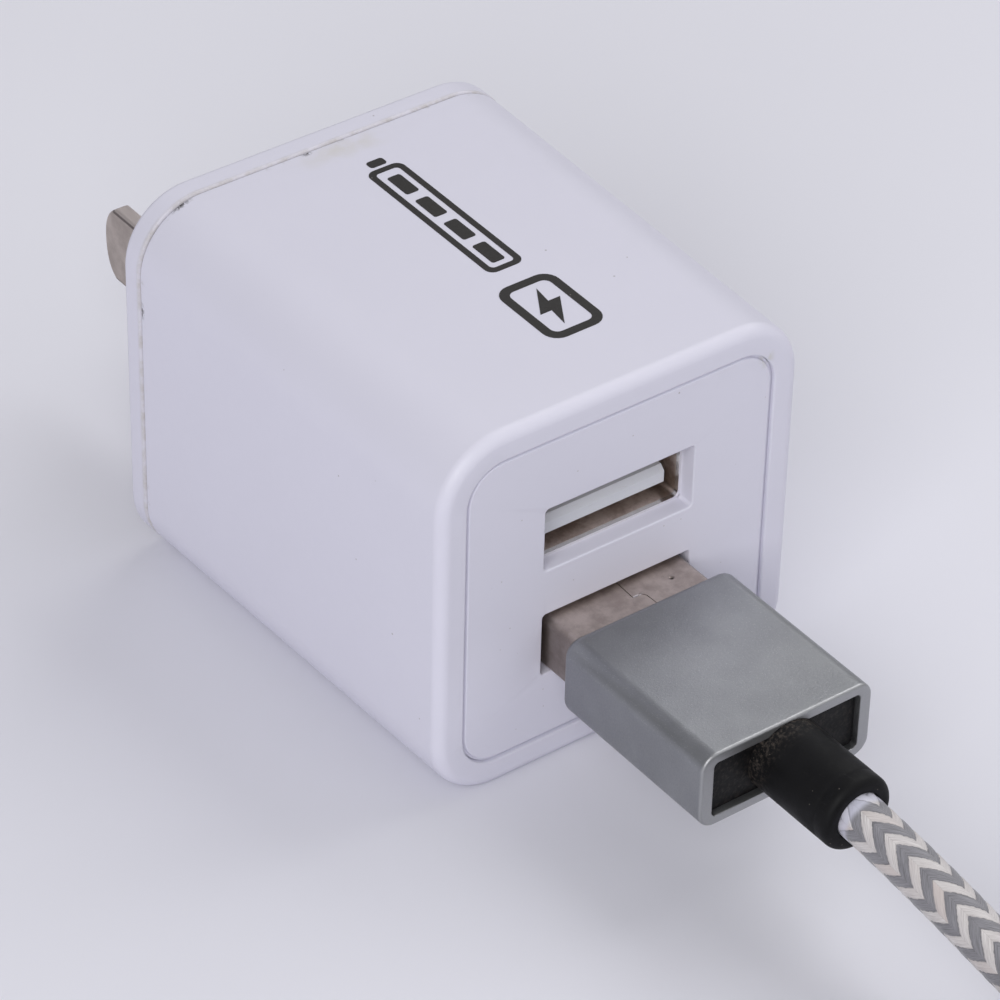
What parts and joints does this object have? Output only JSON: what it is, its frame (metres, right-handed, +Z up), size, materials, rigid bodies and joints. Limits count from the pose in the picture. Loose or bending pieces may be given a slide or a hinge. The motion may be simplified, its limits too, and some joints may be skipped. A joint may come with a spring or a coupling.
{
  "type": "usb wall charger",
  "caption": "Compact mains wall charger with stacked USB-A ports and flat blades, and a braided cable plugged into the lower port, its spare length coiled.",
  "frame": {"origin": "middle of the flat underside of the charger's body", "axes": "+Z up, +X to the right seen from the front, the ports face -Y and the mains blades point along +Y"},
  "size_m": [0.0563, 0.1486, 0.0304],
  "materials": {
    "shell_plastic": "satin",
    "blade_metal": "worn satin",
    "port_steel": "bright",
    "tongue_plastic": "gloss",
    "contact_gold": "polished",
    "board_green": "gloss",
    "ferrite": "matt",
    "bobbin_black": "matt",
    "winding_tape": "gloss",
    "capacitor_sleeve": "gloss",
    "capacitor_can": "satin",
    "disc_blue": "gloss",
    "choke_green": "satin",
    "resistor_red": "satin",
    "chip_black": "matt",
    "opto_white": "matt",
    "lead_black": "satin",
    "lead_white": "satin",
    "sheet_amber": "gloss",
    "plug_steel": "satin",
    "insulator_white": "satin",
    "housing_aluminium": "bead-blasted satin",
    "core_black": "satin",
    "boot_rubber": "matt",
    "cord_braid": "grey and white braid",
    "tie_fabric": "woven strap",
    "tip_steel": "satin"
  },
  "bodies": {
    "charger": {"main_shell": "shell_plastic", "front_panel": "shell_plastic", "rear_cover": "shell_plastic", "blade_left": "blade_metal", "blade_right": "blade_metal", "lead_left": "lead_black", "lead_right": "lead_white", "main_board": "board_green", "usb_board": "board_green", "usb_shell_upper": "port_steel", "usb_shell_lower": "port_steel", "usb_tongue_upper": "tongue_plastic", "usb_tongue_lower": "tongue_plastic", "usb_contacts_upper": "contact_gold", "usb_contacts_lower": "contact_gold", "transformer_core": "ferrite", "transformer_bobbin": "bobbin_black", "transformer_winding": "winding_tape", "input_capacitors": "capacitor_sleeve", "output_capacitor": "capacitor_can", "y_capacitor": "disc_blue", "line_inductor": "choke_green", "fuse_resistor": "resistor_red", "bridge_rectifier": "chip_black", "controller_chip": "chip_black", "optocoupler": "opto_white", "output_rectifier": "chip_black", "port_controller": "chip_black", "insulating_sheet": "sheet_amber"},
    "cable": {"plug_shell": "plug_steel", "plug_insulator": "insulator_white", "plug_contacts": "contact_gold", "plug_housing": "housing_aluminium", "plug_core": "core_black", "plug_boot": "boot_rubber", "cord_run": "cord_braid", "cord_coil": "cord_braid", "cord_tail": "cord_braid", "cable_tie": "tie_fabric", "tip_shell": "tip_steel", "tip_tongue": "chip_black", "tip_housing": "housing_aluminium", "tip_core": "core_black", "tip_boot": "boot_rubber"}
  },
  "joints": [
    {"name": "plug_pull", "type": "slide", "parent": "charger", "child": "cable", "axis": [0, -1, 0], "range_m": [0, 0.015]}
  ]
}
